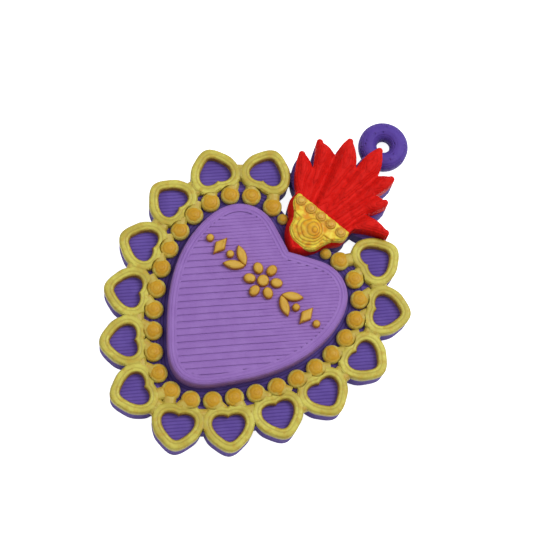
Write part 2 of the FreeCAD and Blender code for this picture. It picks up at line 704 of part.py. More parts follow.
dot_faces = [disc(row_centre + Vector(place, 0, 0), size("dot_radius"))
             for place in (inner_dot, outer_dot)]
eye_face = disc(row_centre, size("flower_eye_radius"))
leaves = on_both_sides([leaf_face(LEAF_TILT), leaf_face(-LEAF_TILT)])
flower_eye = raised("flower_eye", eye_face, "ornament_thick", ON_HEART)
flower_petals = raised("flower_petals", Part.makeCompound(petal_faces()), "ornament_thick", ON_HEART)
band_leaves = raised("band_leaves", Part.makeCompound(leaves), "ornament_thick", ON_HEART)
band_diamonds = raised("band_diamonds", Part.makeCompound(on_both_sides([diamond_face()])),
                       "ornament_thick", ON_HEART)
band_dots = raised("band_dots", Part.makeCompound(on_both_sides(dot_faces)),
                   "ornament_thick", ON_HEART)

# The sub-parts, checked and then written one file each.
nodes = [back_plate, hanging_ring, *frames, border_beads, collar_beads, centre_heart,
         flower_eye, flower_petals, band_leaves, band_diamonds, band_dots,
         flame_base, *tongues, vessel_cup, vessel_brim, vessel_knobs]

doc.recompute()
for item in doc.Objects:
    if "Invalid" in item.State or "Error" in item.State:
        raise RuntimeError("not rebuilt: " + item.Label)
os.makedirs("parts", exist_ok=True)
for node in nodes:
    shape = node.Shape
    if shape.isNull() or not shape.isValid() or not shape.Solids:
        raise RuntimeError("no valid solid: " + node.Label)
    shape.exportStep("parts/%s.step" % node.Label)
    box = shape.BoundBox
    print("%-16s %2d solids %8.2f mm3  z %.2f to %.2f"
          % (node.Label, len(shape.Solids), shape.Volume, box.ZMin, box.ZMax))
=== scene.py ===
# %% [markdown]
# # A printed heart charm
# The real thing is a small folk charm, 39 mm wide, printed flat on its back in five plastics.
# What makes it look real is the print itself: roads of plastic laid side by side, the layers in
# its walls, and the way colours change where roads meet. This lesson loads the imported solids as
# a fixed frame and then dresses them. Outlines are read from the solids, so that what is added
# fits them.

import math
from functools import partial

import bmesh
import bpy
import numpy as np
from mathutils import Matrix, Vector
from mathutils.geometry import delaunay_2d_cdt


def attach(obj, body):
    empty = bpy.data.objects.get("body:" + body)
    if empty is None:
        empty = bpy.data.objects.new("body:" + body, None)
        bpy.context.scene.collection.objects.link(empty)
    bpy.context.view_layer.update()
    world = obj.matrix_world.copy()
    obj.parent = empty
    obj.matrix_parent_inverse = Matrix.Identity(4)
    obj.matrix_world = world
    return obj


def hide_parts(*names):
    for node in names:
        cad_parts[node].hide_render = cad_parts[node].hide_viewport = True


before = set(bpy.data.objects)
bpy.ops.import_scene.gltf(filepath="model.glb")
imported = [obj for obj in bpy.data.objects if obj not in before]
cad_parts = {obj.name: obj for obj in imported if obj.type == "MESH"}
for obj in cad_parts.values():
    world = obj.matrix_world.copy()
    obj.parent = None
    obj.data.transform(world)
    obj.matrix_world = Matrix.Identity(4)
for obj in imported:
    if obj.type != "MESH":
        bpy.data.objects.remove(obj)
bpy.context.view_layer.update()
MM = 0.001
print("nodes loaded:", len(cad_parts))

# %% [markdown]
# ## Reading outlines from the solids
# Every road follows an edge that the solids already have. A cut through a node at one height
# gives that edge as a closed loop, and a few small tools work on loops: even spacing, distance,
# inside or outside, and a parallel loop. Plain arrays in millimetres keep them short.


# %% Loops of points
def even(loop, step):
    """The closed loop with evenly spaced points, near step mm apart and at least 12."""
    ring = np.vstack([loop, loop[:1]])
    run = np.append(0, np.cumsum(np.linalg.norm(np.diff(ring, axis=0), axis=1)))
    places = np.linspace(0, run[-1], max(12, round(run[-1] / step)), endpoint=False)
    return np.column_stack([np.interp(places, run, ring[:, k]) for k in (0, 1)])


def outlines(node, height):
    """The loops where a node is cut at a height in mm, longest first, anticlockwise.
    A point where two loops touch is left out, so that they stay apart."""
    shape = bmesh.new()
    shape.from_mesh(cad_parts[node].data)
    bmesh.ops.remove_doubles(shape, verts=shape.verts, dist=0.001 * MM)
    everything = [*shape.verts, *shape.edges, *shape.faces]
    cut = bmesh.ops.bisect_plane(
        shape, geom=everything, plane_co=(0, 0, height * MM), plane_no=(0, 0, 1)
    )
    shape.verts.index_update()
    links, places = {}, {}
    for edge in (e for e in cut["geom_cut"] if isinstance(e, bmesh.types.BMEdge)):
        for here, there in (edge.verts, reversed(edge.verts)):
            links.setdefault(here.index, []).append(there.index)
            places[here.index] = (here.co.x / MM, here.co.y / MM)
    links = {here: ends for here, ends in links.items() if len(ends) == 2}
    loops = []
    while links:
        torn = (v for v in sorted(links) if any(n not in links for n in links[v]))
        here, loop = next(torn, min(links)), []
        while here is not None:
            loop.append(places[here])
            here = next((n for n in links.pop(here) if n in links), None)
        loop = np.array(loop)
        x, y = loop.T
        twice_area = (x * np.roll(y, -1) - y * np.roll(x, -1)).sum()
        if abs(twice_area) > 0.05:
            loops.append(loop if twice_area > 0 else loop[::-1])
    shape.free()
    return sorted(loops, key=lambda l: -np.linalg.norm(np.diff(l, axis=0), axis=1).sum())


def distance(points, loop):
    """How far each point is from the nearest place on the closed loop."""
    step = np.roll(loop, -1, axis=0) - loop
    reach = np.maximum((step**2).sum(1), 1e-12)
    found = []
    for some in np.array_split(points, max(1, len(points) // 1500)):
        gap = some[:, None] - loop
        share = np.clip((gap * step).sum(2) / reach, 0, 1)[..., None]
        found.append(np.linalg.norm(gap - share * step, axis=2).min(1))
    return np.concatenate(found)


def nearest(points, marks):
    """How far each point is from the nearest of some marks, which needn't be a loop."""
    return np.array([np.linalg.norm(marks - point, axis=1).min() for point in points])


def inside(points, loop):
    """Which points lie inside the closed loop."""
    x, y = points[:, :1], points[:, 1:]
    (ax, ay), (bx, by) = loop.T, np.roll(loop, -1, axis=0).T
    rise = np.where(by == ay, 1, by - ay)
    hits = ((ay > y) != (by > y)) & (x < ax + (y - ay) * (bx - ax) / rise)
    return hits.sum(1) % 2 == 1


def parallel(loop, inset, step=0.25):
    """The loop moved inwards by inset mm, or outwards where inset is negative. Points that
    land nearer to the loop than that, as in a sharp corner, are dropped."""
    fine = even(loop, 0.08)
    along = np.roll(fine, -2, axis=0) - np.roll(fine, 2, axis=0)
    along /= np.linalg.norm(along, axis=1)[:, None]
    moved = fine + inset * np.column_stack([-along[:, 1], along[:, 0]])
    return even(moved[distance(moved, fine) > abs(inset) - 0.02], step)


heart_edge = even(outlines("centre_heart", height=3.6)[0], step=0.25)
print("heart outline:", len(heart_edge), "points,", np.ptp(heart_edge, axis=0).round(1), "mm")

# %% [markdown]
# ## The colours and the printed finish
# All five plastics are the same kind of thing: PLA, melted and laid in roads 0.44 mm wide and
# layers 0.2 mm high. Satin, faintly translucent, never one flat colour. One function makes the
# finish, because only its colours and lines differ. Lines come from three places: the height
# (layers), a straight direction (fill), or an attribute called inset, the distance from an
# edge, for roads that follow an outline. Each line is both a small bump and a groove, and the
# groove is darkened with painted shade.


# %% A node with its settings and links
def add(tree, kind, inputs=(), output=None, **settings):
    """Adds a node and gives its output of that name, or else the first one in use. Inputs
    take a number, a colour or another node's output."""
    made = tree.nodes.new(kind)
    for name, value in settings.items():
        setattr(made, name, value)
    for key, value in dict(inputs).items():
        if isinstance(value, bpy.types.NodeSocket):
            tree.links.new(value, made.inputs[key])
        else:
            made.inputs[key].default_value = value
    if output:
        return made.outputs[output]
    return next((socket for socket in made.outputs if socket.enabled), None)


def linear(colour):
    """An sRGB hex colour as the linear values that shaders use, by the sRGB formula."""
    parts = [int(colour[k : k + 2], 16) / 255 for k in (1, 3, 5)]
    return [c / 12.92 if c <= 0.04045 else ((c + 0.055) / 1.055) ** 2.4 for c in parts] + [1]


print("middle grey is", round(linear("#808080")[0], 3), "in linear values")

# %% [markdown]
# ### Lines
# A line pattern is a saw wave folded in half: the part of a line that a place is in, from 0 to
# 1, becomes the distance from the line's middle. A power then makes the groove narrow.

# %% Lines of the print
ROAD = 0.44  # mm from one road to the next
LAYER = 0.2  # mm from one layer to the next


def ridges(node, count, crisp):
    """1 on the crown of each line, falling to 0 in the groove between two. Count grows by one
    with each line, and the grooves are narrower where crisp is greater."""
    part = node("ShaderNodeMath", {0: count}, operation="FRACT")
    swing = node("ShaderNodeMath", {0: part, 1: 2.0, 2: -1.0}, operation="MULTIPLY_ADD")
    fold = node("ShaderNodeMath", {0: swing}, operation="ABSOLUTE")
    groove = node("ShaderNodeMath", {0: fold, 1: crisp}, operation="POWER")
    return node("ShaderNodeMath", {0: 1.0, 1: groove}, operation="SUBTRACT")


print("lines to the millimetre:", round(1 / ROAD, 2), "roads and", round(1 / LAYER, 2), "layers")

# %% [markdown]
# ### The finish
# The colour starts from the body's, and washes of other tones lie over it: paler clouds a few
# millimetres wide, specks, a tint at the edge, soft blots, and last painted shade in the grooves.
# Layer lines belong on walls only, so the finish asks how upright the surface's normal is. The
# bumps come from the same lines and grain. Noise is scaled by the millimetre: 0.45 gives patches
# of about 2 mm, and 2.6 gives grains of about 0.4 mm, one road wide.


# %% The printed finish
def printed_plastic(
    name, body, pale, groove_shade, *, follow=None, pitch=ROAD, groove=0.5, depth=0.05, crisp=5.0,
    level=0.9, rough=0.5, shine=0.25, edge=None, band=0.17, mottle=0.0, tint=None, pits=0.0,
):
    """Printed PLA. Body is its colour, pale its lightest tone, and the third the painted shade in
    its grooves. Lengths are in mm.
    follow, pitch: the attribute that the top's roads follow, or straight, and their width
    groove, depth, crisp: how dark the painted shade in the grooves is, how deep the grooves are,
    and how narrow between layers
    level: how upright a normal must be to count as a flat top, which has no layer lines
    rough, shine: the roughness, and the strength of the gloss
    edge, band, mottle: a tint over the first band mm of inset, and how ragged its end is
    tint: the tone of the soft blots
    pits: the depth of small round hollows"""
    made = bpy.data.materials.new(name)
    made.use_nodes = True
    tree = made.node_tree
    node = partial(add, tree)

    where = node("ShaderNodeTexCoord").node.outputs
    in_mm = node("ShaderNodeVectorMath", {0: where["Object"], "Scale": 1 / MM}, operation="SCALE")
    height = node("ShaderNodeSeparateXYZ", {0: in_mm}, "Z")
    upright = node("ShaderNodeSeparateXYZ", {0: where["Normal"]}, "Z")
    top = node("ShaderNodeMapRange", {0: upright, 1: level, 2: level + 0.9 * (1 - level)})
    count = node("ShaderNodeMath", {0: height, 1: 1 / LAYER, 2: 0.5}, operation="MULTIPLY_ADD")
    layers, roads = ridges(node, count, crisp), 1.0
    if follow == "straight":
        diagonal = {0: in_mm, 1: (-0.7071, 0.7071, 0)}
        across = node("ShaderNodeVectorMath", diagonal, operation="DOT_PRODUCT")
    elif follow:
        across = node("ShaderNodeAttribute", output="Fac", attribute_name=follow)
    if follow:
        sway = node("ShaderNodeTexNoise", {"Vector": in_mm, "Scale": 0.6, "Detail": 2.0})
        across = node("ShaderNodeMath", {0: sway, 1: 0.12, 2: across}, operation="MULTIPLY_ADD")
        count = node("ShaderNodeMath", {0: across, 1: 1 / pitch}, operation="MULTIPLY")
        roads = ridges(node, count, 3.0)
    lines = node("ShaderNodeMix", {0: top, 2: layers, 3: roads})

    patches = node("ShaderNodeTexNoise", {"Vector": in_mm, "Scale": 0.45, "Detail": 3.0})
    blots = node("ShaderNodeTexNoise", {"Vector": in_mm, "Scale": 1.3, "Detail": 2.0})
    fine = {"Vector": in_mm, "Scale": 2.6, "Detail": 3.0, "Roughness": 0.6}
    grain = node("ShaderNodeTexNoise", fine)
    cloud = node("ShaderNodeMapRange", {0: patches, 1: 0.38, 2: 0.64, 4: 0.75})
    speck = node("ShaderNodeMapRange", {0: grain, 1: 0.35, 2: 0.7, 4: 0.21})
    washes = [(cloud, pale), (speck, body)]
    if edge:
        inset = node("ShaderNodeAttribute", output="Fac", attribute_name="inset")
        ragged = node("ShaderNodeMath", {0: blots, 1: 0.5}, operation="SUBTRACT")
        ragged = {0: ragged, 1: mottle, 2: inset}
        near = node("ShaderNodeMath", ragged, operation="MULTIPLY_ADD")
        close = node("ShaderNodeMapRange", {0: near, 1: 0.03, 2: band, 3: 1.0, 4: 0.0})
        washes.append((close, edge))
    if tint:
        blot = node("ShaderNodeMapRange", {0: blots, 1: 0.5, 2: 0.66, 4: 0.6})
        washes.append((blot, tint))
    # Painted shade: the grooves between roads and between layers are darkened towards the groove
    # tone.
    gap = node("ShaderNodeMath", {0: lines, 1: -groove, 2: groove}, operation="MULTIPLY_ADD")
    colour = linear(body)
    for share, tone in [*washes, (gap, groove_shade)]:
        tones = {0: share, 6: colour, 7: linear(tone)}
        colour = node("ShaderNodeMix", tones, data_type="RGBA")
    dull = {0: grain, 1: 0.3, 2: 0.7, 3: rough - 0.07, 4: rough + 0.09}
    dull = node("ShaderNodeMapRange", dull)

    hollow = 0.0
    if pits:
        cells = node("ShaderNodeTexVoronoi", {"Vector": in_mm, "Scale": 1.1}, "Distance")
        hollow = node("ShaderNodeMapRange", {0: cells, 1: 0.08, 2: 0.22, 3: -pits, 4: 0.0})
    skin = node("ShaderNodeMath", {0: grain, 1: 0.06, 2: hollow}, operation="MULTIPLY_ADD")
    relief_mm = node("ShaderNodeMath", {0: lines, 1: depth, 2: skin}, operation="MULTIPLY_ADD")
    bump = node("ShaderNodeBump", {"Height": relief_mm, "Distance": MM, "Strength": 1.0})

    shader = tree.nodes["Principled BSDF"].inputs
    shader["IOR"].default_value = 1.46  # that of PLA
    shader["Specular IOR Level"].default_value = shine
    for label, value in (("Base Color", colour), ("Roughness", dull), ("Normal", bump)):
        tree.links.new(value, shader[label])
    return made


# %% The violet and lavender plastics
# The plate: matt violet in straight roads, which show as fine lines on the diagonal, their
# grooves darkened with painted shade.
violet = printed_plastic(
    "violet_printed_pla", "#624c9f", "#6e58ae", "#3a2a70",
    follow="straight", rough=0.62, shine=0.12,
)
# The ring: the same plastic without roads, a little glossier, with small round hollows.
violet_ring = printed_plastic(
    "violet_ring_pla", "#523a97", "#5c44a2", "#392a70",
    groove=0.3, rough=0.55, shine=0.2, pits=0.12,
)
# The channel round the heart: a darker violet that is painted shade, and deep grooves between
# roads that follow the heart, darkened strongly with painted shade.
channel_painted_shade = printed_plastic(
    "violet_channel_painted_shade_pla", "#493878", "#5a4890", "#2b1f50",
    follow="inset", groove=0.7, rough=0.62, shine=0.1,
)
# The centre heart: pale lavender. Its roads are real ones, so the finish only adds layers.
lavender = printed_plastic("lavender_printed_pla", "#8f68b3", "#9872bc", "#6a4894", groove=0.22)
print("violets:", violet.name, violet_ring.name, channel_painted_shade.name, lavender.name)

# %% The gold, amber and red plastics
# The frames: greenish gold with a silky gloss, browner at the recess. Their roads are drawn
# 0.6 mm apart, as coarse as they need to be to show.
gold = printed_plastic(
    "gold_printed_silk_pla", "#b8a83e", "#d8d25e", "#8f7429", follow="inset", pitch=0.6,
    groove=0.4, depth=0.035, rough=0.4, shine=0.33, edge="#976a1e", mottle=0.25, tint="#bd9c30",
)
# The bridges: the same gold, dragged into strings, so without roads.
gold_webs = printed_plastic(
    "gold_bridge_silk_pla", "#b9a340", "#cab950", "#8f6b22",
    groove=0.3, rough=0.4, shine=0.4, tint="#b98f2c",
)
# The beads: amber gold in rings, with a pale and ragged foot.
amber = printed_plastic(
    "amber_printed_silk_pla", "#c28f16", "#cc9d22", "#94601a", follow="inset", pitch=0.4,
    groove=0.2, depth=0.03, level=0.995, rough=0.4, shine=0.28,
    edge="#c8ba58", band=0.42, mottle=1.1, tint="#cba534",
)
# The cup and the brim: deeper amber. The layers of so low a dome are wide, soft rings, and
# yellow runs in from the edge in blots.
amber_top = printed_plastic(
    "amber_contour_silk_pla", "#d98f0c", "#e8bf34", "#96600c",
    groove=0.6, depth=0.06, crisp=2.2, level=0.997, rough=0.38, shine=0.3,
    edge="#f0da46", band=2.0, mottle=5.0, tint="#dd8d10",
)
# The knobs on the brim: the same rings, yellower and glossier.
knob_gold = printed_plastic(
    "amber_knob_silk_pla", "#d29420", "#e2ba48", "#a66a18",
    groove=0.55, depth=0.06, crisp=2.2, level=0.997, rough=0.38, shine=0.45, tint="#e0c050",
)
# The ornament: amber laid thin, pitted, with a brown rim.
ornament = printed_plastic(
    "amber_ornament_silk_pla", "#c49427", "#d4ad45", "#96641a",
    groove=0.3, rough=0.42, shine=0.35, edge="#a8621a", pits=0.1,
)
# The flame: a strong matt red that nearly hides its roads, with darker blots.
red = printed_plastic(
    "red_printed_pla", "#d61711", "#e0211a", "#920c0a",
    follow="inset", groove=0.15, level=0.995, shine=0.08, tint="#bb100c",
)
print("materials:", [m.name for m in bpy.data.materials if "pla" in m.name])

# %% [markdown]
# ## A printed road
# A road is a thread of melted plastic pressed flat by the nozzle: its sides are rounded and
# its crown is nearly level. It always follows a path, which is just what Geometry Nodes are
# good at: the path becomes a curve, and a rounded profile is swept along it. The profile is a
# line bent by a sine raised to a power below one, so that one number sets how flat it is.


# %% A tree with named inputs
def new_tree(name, sockets):
    """A Geometry Nodes tree from geometry to geometry, with the other inputs that are named."""
    tree = bpy.data.node_groups.new(name, "GeometryNodeTree")
    for label, kind in {"Geometry": "Geometry", **sockets}.items():
        tree.interface.new_socket(label, in_out="INPUT", socket_type="NodeSocket" + kind)
    tree.interface.new_socket("Geometry", in_out="OUTPUT", socket_type="NodeSocketGeometry")
    return tree


sizes = {"Road width": "Float", "Road height": "Float", "Flatness": "Float"}
road_tree = new_tree("printed_road", {**sizes, "Material": "Material"})
print("road tree takes:", [item.name for item in road_tree.interface.items_tree])

# %% The road tree
node = partial(add, road_tree)
given = node("NodeGroupInput").node.outputs
path = node("GeometryNodeMeshToCurve", {0: given["Geometry"]})
path = node("GeometryNodeSetCurveNormal", {0: path}, mode="Z_UP")
fullness = node("GeometryNodeInputNamedAttribute", {0: "fullness"}, data_type="FLOAT")
path = node("GeometryNodeSetCurveRadius", {"Curve": path, "Radius": fullness})
line = node("GeometryNodeCurvePrimitiveLine")
line = node("GeometryNodeResampleCurve", {"Curve": line, "Count": 9})
factor = node("GeometryNodeSplineParameter", output="Factor")
angle = node("ShaderNodeMath", {0: factor, 1: math.pi}, operation="MULTIPLY")
sideways = node("ShaderNodeMath", {0: angle}, operation="COSINE")
half = node("ShaderNodeMath", {0: given["Road width"], 1: 0.5}, operation="MULTIPLY")
sideways = node("ShaderNodeMath", {0: sideways, 1: half}, operation="MULTIPLY")
crown = node("ShaderNodeMath", {0: angle}, operation="SINE")
crown = node("ShaderNodeMath", {0: crown, 1: given["Flatness"]}, operation="POWER")
down = node("ShaderNodeMath", {0: given["Road height"], 1: -1.0}, operation="MULTIPLY")
crown = node("ShaderNodeMath", {0: crown, 1: down}, operation="MULTIPLY")
place = node("ShaderNodeCombineXYZ", {0: sideways, 1: crown})
line = node("GeometryNodeSetPosition", {"Geometry": line, "Position": place})
swept = node("GeometryNodeCurveToMesh", {"Curve": path, "Profile Curve": line})
swept = node("GeometryNodeSetShadeSmooth", {"Geometry": swept})
swept = node("GeometryNodeRealizeInstances", {"Geometry": swept})
swept = node("GeometryNodeSetMaterial", {"Geometry": swept, "Material": given["Material"]})
node("NodeGroupOutput", {"Geometry": swept})
print("road tree:", len(road_tree.nodes), "nodes")


# %% Grow a tree's result into a plain piece
def finish_piece(piece, slot, *replaced):
    """The piece rides on the charm's one body and stands for the nodes named."""
    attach(piece, "root")
    if replaced:
        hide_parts(*replaced)
    return piece


def grow(name, source, tree, settings):
    """Runs a node tree over a source mesh and keeps the result as a plain mesh object."""
    seed = bpy.data.objects.new(name + "_source", source)
    bpy.context.scene.collection.objects.link(seed)
    grown = seed.modifiers.new("grow", "NODES")
    grown.node_group = tree
    for item in tree.interface.items_tree:
        if item.in_out == "INPUT" and item.name in settings:
            grown[item.identifier] = settings[item.name]
    seed.update_tag()
    bpy.context.view_layer.update()
    ready = seed.evaluated_get(bpy.context.evaluated_depsgraph_get())
    made = bpy.data.objects.new(name, bpy.data.meshes.new_from_object(ready))
    seed.modifiers.remove(grown)
    bpy.data.objects.remove(seed)
    bpy.context.scene.collection.objects.link(made)
    print(name, "has", len(made.data.polygons), "faces")
    return made


def lay_roads(name, paths, width, height, flatness, material, slot):
    """Roads along open paths, each a list of (x, y, z, fullness) rows in mm. Fullness scales
    the road's section at that place."""
    places, edges, fullness = [], [], []
    for rows in paths:
        first = len(places)
        places += [(x * MM, y * MM, z * MM) for x, y, z, _ in rows]
        fullness += [full for _, _, _, full in rows]
        edges += [(k, k + 1) for k in range(first, len(places) - 1)]
    source = bpy.data.meshes.new(name)
    source.from_pydata(places, edges, [])
    source.attributes.new("fullness", "FLOAT", "POINT").data.foreach_set("value", fullness)
    settings = {"Road width": width * MM, "Road height": height * MM, "Flatness": flatness}
    return finish_piece(grow(name, source, road_tree, {**settings, "Material": material}), slot)


# %% [markdown]
# ## Relief: a piece whose top is a height rule
# The heart, the frames, the flame and the vessel have tops that depend on how far a place is
# from the edge. Points on the edge and on rows parallel to it, with a grid in between, are
# joined into triangles; each point then gets its height from a rule. A wall and a floor close
# the piece. The distance is kept as the attribute inset, so the finish can draw its roads.


# %% Triangles over an outline
def plan(loops, rows, step, mesh=None):
    """Points and triangles over the area in the first loop and outside the others, and each
    point's inset from the nearest edge. Rows are the insets of extra rows of points, step mm
    apart along them. Mesh is the step of the grid in between, if it differs."""
    mesh = mesh or step
    loops = [even(loop, step) for loop in loops]

    def within(spots):
        """Which spots lie in the first loop and in none of the others."""
        in_hole = np.any([inside(spots, hole) for hole in loops[1:]], axis=0)
        return inside(spots, loops[0]) & ~in_hole

    def edge_gap(spots):
        """How far each spot is from the nearest loop."""
        return np.min([distance(spots, loop) for loop in loops], axis=0)

    low, high = loops[0].min(0), loops[0].max(0)
    grid = np.stack(np.meshgrid(*(np.arange(a, b, mesh) for a, b in zip(low, high))), -1)
    grid[1::2, :, 0] += mesh / 2
    grid = grid.reshape(-1, 2)
    inwards = [1] + [-1] * (len(loops) - 1)
    lines = [parallel(loop, row * way, step) for row in rows for loop, way in zip(loops, inwards)]
    extra = np.vstack([*lines, grid])
    on_rows = np.arange(len(extra)) < len(extra) - len(grid)
    kept = within(extra)
    extra, on_rows = extra[kept], on_rows[kept]
    inset, deepest = edge_gap(extra), max(rows, default=0)
    extra = extra[np.where(on_rows, inset > 0.01, inset > deepest + 0.45 * mesh)]
    edges, first = [], 0
    for loop in loops:
        edges += [(first + k, first + (k + 1) % len(loop)) for k in range(len(loop))]
        first += len(loop)
    corners = [Vector(p) for p in np.vstack([*loops, extra])]
    points, _, faces, *_ = delaunay_2d_cdt(corners, edges, [], 0, 1e-4)
    points, faces = np.array([tuple(p) for p in points]), np.array([list(f) for f in faces])
    return points, faces[within(points[faces].mean(1))], edge_gap(points)


trial, triangles, _ = plan([heart_edge], [], 1.0)
print("a coarse heart takes", len(trial), "points and", len(triangles), "triangles")


# %% A closed piece over the triangles
def relief(name, points, faces, height, base, inset, material, slot, *replaced):
    """A closed piece over the triangles, from base to each point's height, all in mm."""
    count = len(points)
    used = {(trio[k - 1], trio[k]) for trio in faces.tolist() for k in range(3)}
    walls = [(a, a + count, b + count, b) for a, b in sorted(used) if (b, a) not in used]
    floor = faces[:, ::-1] + count
    places = np.tile(np.column_stack([points, height]), (2, 1))
    places[count:, 2] = base
    mesh = bpy.data.meshes.new(name)
    mesh.from_pydata((places * MM).tolist(), [], faces.tolist() + floor.tolist() + walls)
    data = np.tile(np.asarray(inset, np.float32), 2)
    mesh.attributes.new("inset", "FLOAT", "POINT").data.foreach_set("value", data)
    mesh.materials.append(material)
    mesh.shade_smooth()
    mesh.set_sharp_from_angle(angle=math.radians(50))
    tidied = bmesh.new()
    tidied.from_mesh(mesh)
    loose = [corner for corner in tidied.verts if not corner.link_faces]
    bmesh.ops.delete(tidied, geom=loose, context="VERTS")
    tidied.to_mesh(mesh)
    tidied.free()
    made = bpy.data.objects.new(name, mesh)
    bpy.context.scene.collection.objects.link(made)
    print(name, "has", len(mesh.polygons), "faces")
    return finish_piece(made, slot, *replaced)


# %% [markdown]
# ## The centre heart
# Its rim is three roads that follow the outline, the outer one rounded over the edge. Inside,
# straight roads fill the top at 45 degrees. The printer lays them in pairs, so every second
# gap is wider and looks dark, most at the lower left. The body is a relief with a sunk middle,
# and the fill lies in it as real roads. Heights are in mm above the charm's back.

# %% The heart's body and rim
PLATE_TOP, HEART_TOP, HEART_FLOOR = 2.8, 5.2, 5.06
RIM, ROUNDING = 1.24, 0.6  # the rim's width, and the radius over its edge
rim_rows = [0.04, 0.1, 0.2, 0.32, 0.4, 0.44, 0.48, 0.56, 0.66, 0.76, 0.82, 0.86, 0.9]
rim_rows += [1.0, 1.1, 1.2, 1.24, 1.3, 1.4]
points, faces, inset = plan([heart_edge], rim_rows, 0.12, 0.4)
short = np.clip(ROUNDING - inset, 0, ROUNDING)
height = HEART_TOP - ROUNDING + np.sqrt(ROUNDING**2 - short**2)
for groove in (0.44, 0.86):
    height -= 0.07 * np.exp(-(((inset - groove) / 0.06) ** 2))
height = np.where(inset > RIM - 0.01, HEART_FLOOR, height)
heart = (points, faces, height, PLATE_TOP, inset, lavender, "lavender_plastic")
relief("heart_body", *heart, "centre_heart")

# %% The heart's fill
rng = np.random.default_rng(7)
ALONG, ACROSS = np.array([1, 1]) / math.sqrt(2), np.array([-1, 1]) / math.sqrt(2)
TAPER = np.array([0, 0.05, 0.14, 0.3])  # mm from a road's end, where it has these fullnesses
TAPERED = [0.2, 0.65, 0.93, 1]


def fill_lines(loop, z, pair_gap):
    """Straight roads ROAD apart inside the loop, as rows for lay_roads. Neighbours lean
    together by pair_gap mm at the lower left, and less towards the upper right."""
    reach = loop @ ACROSS
    loop = even(loop, 0.1)
    u, v = loop @ ACROSS, loop @ ALONG
    u_next, v_next = np.roll(u, -1), np.roll(v, -1)
    paths = []
    for k in range(math.ceil(reach.min() / ROAD), math.floor(reach.max() / ROAD)):
        level = k * ROAD
        crossed = np.sign(u - level) != np.sign(u_next - level)
        crossings = v + (v_next - v) * ((level - u) / (u_next - u + 1e-12))
        places = np.sort(crossings[crossed])
        for start, end in zip(places[::2], places[1::2]):
            # two unused numbers, so that the wobbles stay the ones looked at
            rng.random(2)  # two numbers drawn and not used, which shift the wobbles that follow
            if end - start < 0.5:
                continue
            middle = np.linspace(start + 0.6, end - 0.6, max(2, int(end - start)))
            stops = np.unique(np.concatenate([start + TAPER, middle, end - TAPER]))
            stops = stops[(stops >= start) & (stops <= end)]
            full = np.interp(np.minimum(stops - start, end - stops), TAPER, TAPERED)
            full *= 1 + 0.02 * rng.standard_normal(len(stops))
            centre = stops[:, None] * ALONG + level * ACROSS
            fade = np.clip((centre @ (0.4, 0.92) + 2.5) / 6, 0, 1)
            shift = (1 if k % 2 else -1) * pair_gap * (1 - fade)
            centre = centre + shift[:, None] * ACROSS
            paths.append(np.column_stack([centre, np.full(len(stops), z), full]))
    return paths


lines = fill_lines(parallel(heart_edge, RIM - 0.08), z=HEART_FLOOR - 0.02, pair_gap=0.085)
fill_section = {"width": 0.47, "height": 0.15, "flatness": 0.36}
lay_roads("heart_fill", lines, **fill_section, material=lavender, slot="lavender_plastic")
print("fill roads:", len(lines))

# %% [markdown]
# ## The gold frames
# Each frame is three roads round a small heart-shaped recess. Where two frames meet the roads
# run together, so only an edge that is free gets rounded.

# %% Frames
FRAME_TOP = 3.8


def sag(inset, drop, reach=0.3):
    """How far a top sinks: drop mm at its edge, and nothing from reach mm in."""
    return drop * np.clip(1 - inset / reach, 0, 1) ** 2


frames = [f"heart_frame_{k:02d}" for k in range(1, 15)]
edges_of = {name: outlines(name, 3.3) for name in [*frames, "border_beads", "collar_beads"]}
for name in frames:
    outer, hole = edges_of[name][:2]
    points, faces, _ = plan([outer, hole], [0.05, 0.12, 0.2, 0.3], 0.16)
    others = [loop for other in edges_of if other != name for loop in edges_of[other]]
    others = [loop for loop in others if np.abs(loop.mean(0) - outer.mean(0)).max() < 9]
    rim = even(outer, 0.08)
    free = rim[np.min([distance(rim, loop) for loop in others], axis=0) > 0.25]
    from_hole = distance(points, hole)
    height = FRAME_TOP - sag(np.minimum(nearest(points, free), from_hole), 0.3)
    top = (points, faces, height, PLATE_TOP, from_hole, gold, "gold_plastic")
    relief(name + "_top", *top, name)

# %% [markdown]
# ## The beads
# The nozzle goes round once at the foot of a bead and then builds its dome in smaller circles.
# One turned bead is set on every centre, each with its own turn and a slightly different size.

# %% The bead tree
sizes = {"Least size": "Float", "Greatest size": "Float"}
bead_tree = new_tree("printed_beads", {"Bead": "Object", **sizes, "Material": "Material"})
node = partial(add, bead_tree)
given = node("NodeGroupInput").node.outputs
spots = node("GeometryNodeMeshToPoints", {0: given["Geometry"]})
master = node("GeometryNodeObjectInfo", {"Object": given["Bead"]}, "Geometry")
turns = {"Max": (0.0, 0.0, 6.28), "Seed": 3}
turn = node("FunctionNodeRandomValue", turns, data_type="FLOAT_VECTOR")
limits = {2: given["Least size"], 3: given["Greatest size"], "Seed": 5}
size = node("FunctionNodeRandomValue", limits, data_type="FLOAT")
row = {"Points": spots, "Instance": master, "Rotation": turn, "Scale": size}
row = node("GeometryNodeInstanceOnPoints", row)
row = node("GeometryNodeRealizeInstances", {"Geometry": row})
row = node("GeometryNodeSetMaterial", {"Geometry": row, "Material": given["Material"]})
node("NodeGroupOutput", {"Geometry": row})
print("bead tree:", len(bead_tree.nodes), "nodes")


